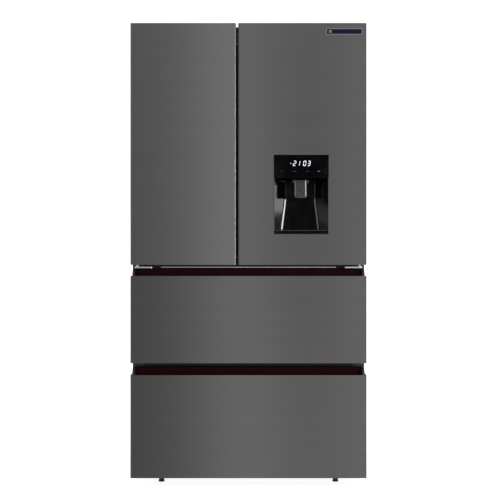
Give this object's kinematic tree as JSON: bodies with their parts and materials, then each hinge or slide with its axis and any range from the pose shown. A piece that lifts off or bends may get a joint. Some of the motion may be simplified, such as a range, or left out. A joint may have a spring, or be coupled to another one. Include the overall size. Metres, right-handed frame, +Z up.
{
  "type": "french door refrigerator",
  "caption": "Refrigerator with a pair of side-hinged doors over pull-out freezer drawers, with a water dispenser recessed in one door.",
  "frame": {"origin": "on the floor, under the middle of the whole object", "axes": "+Z up, the doors and drawers face -Y, +X to the right for a person facing them"},
  "size_m": [0.911, 0.7008, 1.788],
  "materials": {
    "graphite_steel": "dark brushed",
    "cabinet_paint": "satin, fine texture",
    "zinc_steel": "galvanised",
    "foam": "foamed polyurethane",
    "white_liner": "vacuum-formed, smooth",
    "black_plastic": "fine grain",
    "bright_trim": "satin plated",
    "hinge_steel": "zinc plated",
    "gasket": "matt",
    "clear_plastic": "clear with a cold tint",
    "glass": "toughened",
    "compressor_paint": "gloss black",
    "bare_aluminium": "mill finish",
    "lamp": "frosted",
    "rail_steel": "zinc plated",
    "grip_brown": "dark burgundy, satin",
    "dispenser_black": "high gloss",
    "display_glass": "gloss glass",
    "paddle_grey": "satin",
    "tank_plastic": "translucent",
    "badge_blue": "dark blue enamel"
  },
  "bodies": {
    "cabinet": {"cabinet_shell": "cabinet_paint", "rear_panel": "zinc_steel", "base_pan": "zinc_steel", "machine_cover": "black_plastic", "cabinet_foam": "foam", "fridge_liner": "white_liner", "freezer_liner": "white_liner", "middle_beam": "bright_trim", "lower_beam": "black_plastic", "center_post": "black_plastic", "top_cover": "black_plastic", "door_hinges": "hinge_steel", "compressor": "compressor_paint", "condenser": "bare_aluminium", "drain_pan": "black_plastic", "evaporator": "bare_aluminium", "evaporator_cover": "white_liner", "air_duct": "white_liner", "ceiling_lamp": "lamp", "glass_shelves": "glass", "shelf_trims": "white_liner", "fixed_rails": "rail_steel"},
    "condenser_fan": {"condenser_fan": "black_plastic"},
    "evaporator_fan": {"evaporator_fan": "black_plastic"},
    "left_foot": {"left_foot": "black_plastic"},
    "right_foot": {"right_foot": "black_plastic"},
    "rear_rollers": {"rear_rollers": "black_plastic"},
    "left_crisper": {"left_crisper": "clear_plastic"},
    "right_crisper": {"right_crisper": "clear_plastic"},
    "left_door": {"left_door_skin": "graphite_steel", "left_door_inner": "white_liner", "left_door_gasket": "gasket", "left_door_caps": "black_plastic", "left_door_bins": "clear_plastic"},
    "right_door": {"right_door_skin": "graphite_steel", "right_door_inner": "white_liner", "right_door_gasket": "gasket", "right_door_caps": "black_plastic", "right_door_bins": "clear_plastic", "dispenser_housing": "dispenser_black", "dispenser_panel": "display_glass", "dispenser_nozzle": "black_plastic", "water_tank": "tank_plastic", "badge": "badge_blue"},
    "dispenser_paddle": {"dispenser_paddle": "paddle_grey"},
    "drip_tray": {"drip_tray": "dispenser_black"},
    "upper_drawer": {"upper_drawer_skin": "graphite_steel", "upper_drawer_inner": "white_liner", "upper_drawer_gasket": "gasket", "upper_drawer_grip": "grip_brown", "upper_drawer_basket": "clear_plastic", "upper_drawer_rails": "rail_steel"},
    "upper_mid_rails": {"upper_mid_rails": "rail_steel"},
    "lower_drawer": {"lower_drawer_skin": "graphite_steel", "lower_drawer_inner": "white_liner", "lower_drawer_gasket": "gasket", "lower_drawer_grip": "grip_brown", "lower_drawer_basket": "clear_plastic", "lower_drawer_rails": "rail_steel"},
    "lower_mid_rails": {"lower_mid_rails": "rail_steel"}
  },
  "joints": [
    {"name": "left_door_swing", "type": "hinge", "parent": "cabinet", "child": "left_door", "pos_m": [-0.43, -0.322, 1.322], "axis": [0, 0, -1], "range_deg": [0, 120]},
    {"name": "right_door_swing", "type": "hinge", "parent": "cabinet", "child": "right_door", "pos_m": [0.43, -0.322, 1.322], "axis": [0, 0, 1], "range_deg": [0, 120]},
    {"name": "upper_drawer_slide", "type": "slide", "parent": "cabinet", "child": "upper_drawer", "axis": [0, -1, 0], "range_m": [0, 0.4]},
    {"name": "upper_mid_rail_slide", "type": "slide", "parent": "cabinet", "child": "upper_mid_rails", "axis": [0, -1, 0], "range_m": [0, 0.2]},
    {"name": "lower_drawer_slide", "type": "slide", "parent": "cabinet", "child": "lower_drawer", "axis": [0, -1, 0], "range_m": [0, 0.3]},
    {"name": "lower_mid_rail_slide", "type": "slide", "parent": "cabinet", "child": "lower_mid_rails", "axis": [0, -1, 0], "range_m": [0, 0.15]},
    {"name": "left_crisper_slide", "type": "slide", "parent": "cabinet", "child": "left_crisper", "axis": [0, -1, 0], "range_m": [0, 0.075]},
    {"name": "right_crisper_slide", "type": "slide", "parent": "cabinet", "child": "right_crisper", "axis": [0, -1, 0], "range_m": [0, 0.075]},
    {"name": "paddle_swing", "type": "hinge", "parent": "right_door", "child": "dispenser_paddle", "pos_m": [0.2035, -0.288, 1.18], "axis": [1, 0, 0], "range_deg": [0, 12], "stiffness_Nm_per_rad": 0.3, "springref_deg": -5.73},
    {"name": "drip_tray_slide", "type": "slide", "parent": "right_door", "child": "drip_tray", "axis": [0, -1, 0], "range_m": [0, 0.09]},
    {"name": "condenser_fan_spin", "type": "hinge", "parent": "cabinet", "child": "condenser_fan", "pos_m": [0.06, 0.24, 0.142], "axis": [1, 0, 0], "continuous": true},
    {"name": "evaporator_fan_spin", "type": "hinge", "parent": "cabinet", "child": "evaporator_fan", "pos_m": [0, 0.241, 0.717], "axis": [0, 1, 0], "continuous": true},
    {"name": "left_foot_turn", "type": "hinge", "parent": "cabinet", "child": "left_foot", "pos_m": [-0.343, -0.238, 0.03], "axis": [0, 0, 1], "continuous": true},
    {"name": "right_foot_turn", "type": "hinge", "parent": "cabinet", "child": "right_foot", "pos_m": [0.343, -0.238, 0.03], "axis": [0, 0, 1], "continuous": true},
    {"name": "rear_roller_spin", "type": "hinge", "parent": "cabinet", "child": "rear_rollers", "pos_m": [0, 0.3, 0.02], "axis": [1, 0, 0], "continuous": true}
  ],
  "couplings": [
    {"joint": "upper_mid_rail_slide", "follows": "upper_drawer_slide", "ratio": 0.5},
    {"joint": "lower_mid_rail_slide", "follows": "lower_drawer_slide", "ratio": 0.5}
  ]
}
